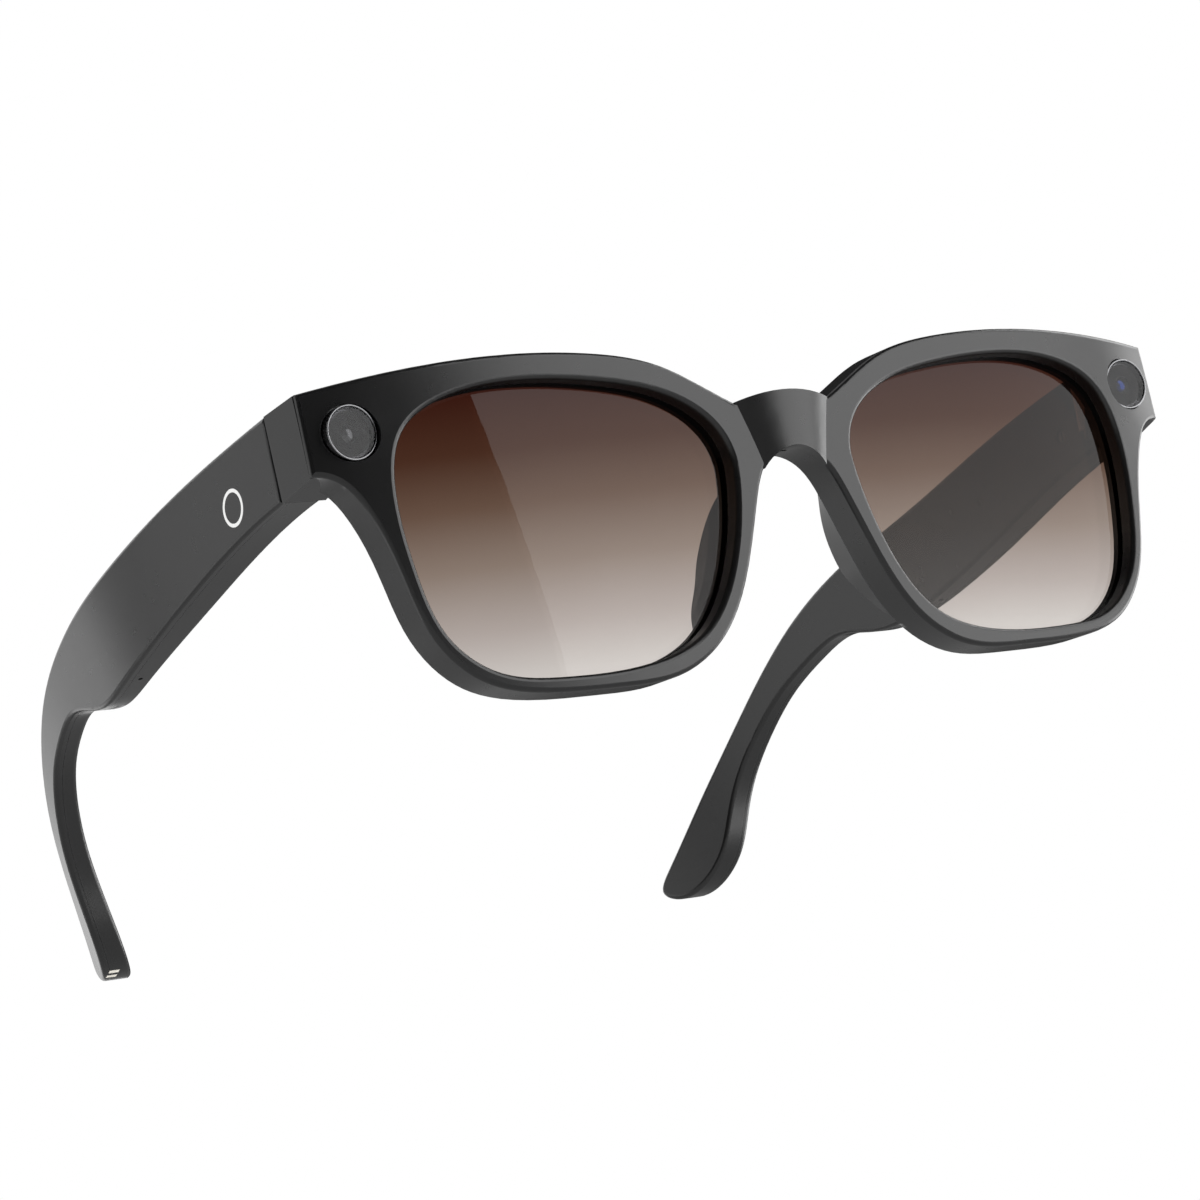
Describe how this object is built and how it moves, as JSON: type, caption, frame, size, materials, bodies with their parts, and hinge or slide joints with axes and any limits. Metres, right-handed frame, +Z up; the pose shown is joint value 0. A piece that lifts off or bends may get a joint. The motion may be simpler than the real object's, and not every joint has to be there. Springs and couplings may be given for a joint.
{
  "type": "smart glasses",
  "caption": "Smart glasses with a tinted-lens front, a camera window in each end piece, nose pads, folding temples with hidden electronics and a press button.",
  "frame": {"origin": "on the table the glasses stand on, in the middle of their width and of their length", "axes": "+X towards the wearer's left, +Y from the front towards the ears, +Z up; standing on the rim bottoms and the ear tips with the temples open"},
  "size_m": [0.1502, 0.1333, 0.0469],
  "materials": {
    "frame_plastic": "satin black moulded nylon",
    "tinted_lens": "polished, brown tint fading downwards",
    "pad_rubber": "matt black",
    "bezel_metal": "dark anodised, bright edge",
    "window_glass": "polished smoke",
    "component_black": "moulded",
    "hinge_steel": "satin",
    "screw_steel": "blackened",
    "cell_foil": "foil pouch",
    "board_laminate": "solder mask",
    "ribbon_film": "polyimide film",
    "grille_mesh": "black mesh",
    "mark_print": "pad print",
    "contact_gold": "plated"
  },
  "bodies": {
    "front": {"front_frame": "frame_plastic", "brow_ribbon": "ribbon_film", "bridge_microphone": "component_black", "bridge_cover": "frame_plastic", "lens_left": "tinted_lens", "lens_right": "tinted_lens", "nose_pad_left": "pad_rubber", "nose_pad_right": "pad_rubber", "camera_bezel_left": "bezel_metal", "camera_bezel_right": "bezel_metal", "camera_window_left": "window_glass", "camera_window_right": "window_glass", "camera_module_left": "component_black", "camera_module_right": "component_black", "hinge_front_leaf_left": "hinge_steel", "hinge_front_leaf_right": "hinge_steel", "hinge_pin_left": "hinge_steel", "hinge_pin_right": "hinge_steel", "leaf_screws_left": "screw_steel", "leaf_screws_right": "screw_steel", "endpiece_cover_left": "frame_plastic", "endpiece_cover_right": "frame_plastic"},
    "temple_left": {"temple_outer_shell_left": "frame_plastic", "temple_inner_shell_left": "frame_plastic", "hinge_temple_leaf_left": "hinge_steel", "temple_screws_left": "screw_steel", "battery_left": "cell_foil", "circuit_board_left": "board_laminate", "speaker_left": "component_black", "speaker_grille_left": "grille_mesh", "temple_microphone_left": "component_black", "temple_ribbon_left": "ribbon_film", "ear_core_left": "hinge_steel"},
    "temple_right": {"temple_outer_shell_right": "frame_plastic", "temple_inner_shell_right": "frame_plastic", "hinge_temple_leaf_right": "hinge_steel", "temple_screws_right": "screw_steel", "battery_right": "cell_foil", "circuit_board_right": "board_laminate", "speaker_right": "component_black", "speaker_grille_right": "grille_mesh", "temple_microphone_right": "component_black", "temple_ribbon_right": "ribbon_film", "ear_core_right": "hinge_steel", "touch_mark_right": "mark_print", "button_switch_right": "component_black", "charge_contacts_right": "contact_gold"},
    "button": {"capture_button_right": "frame_plastic"}
  },
  "joints": [
    {"name": "left_temple_fold", "type": "hinge", "parent": "front", "child": "temple_left", "pos_m": [0.0655, -0.05151, 0.03878], "axis": [0, -0.1643, 0.9864], "range_deg": [0, 86]},
    {"name": "right_temple_fold", "type": "hinge", "parent": "front", "child": "temple_right", "pos_m": [-0.0655, -0.05151, 0.03878], "axis": [0, 0.1643, -0.9864], "range_deg": [0, 81]},
    {"name": "button_press", "type": "slide", "parent": "temple_right", "child": "button", "axis": [0, 0.0046, -1], "range_m": [0, 0.0004], "stiffness_N_per_m": 5000}
  ]
}
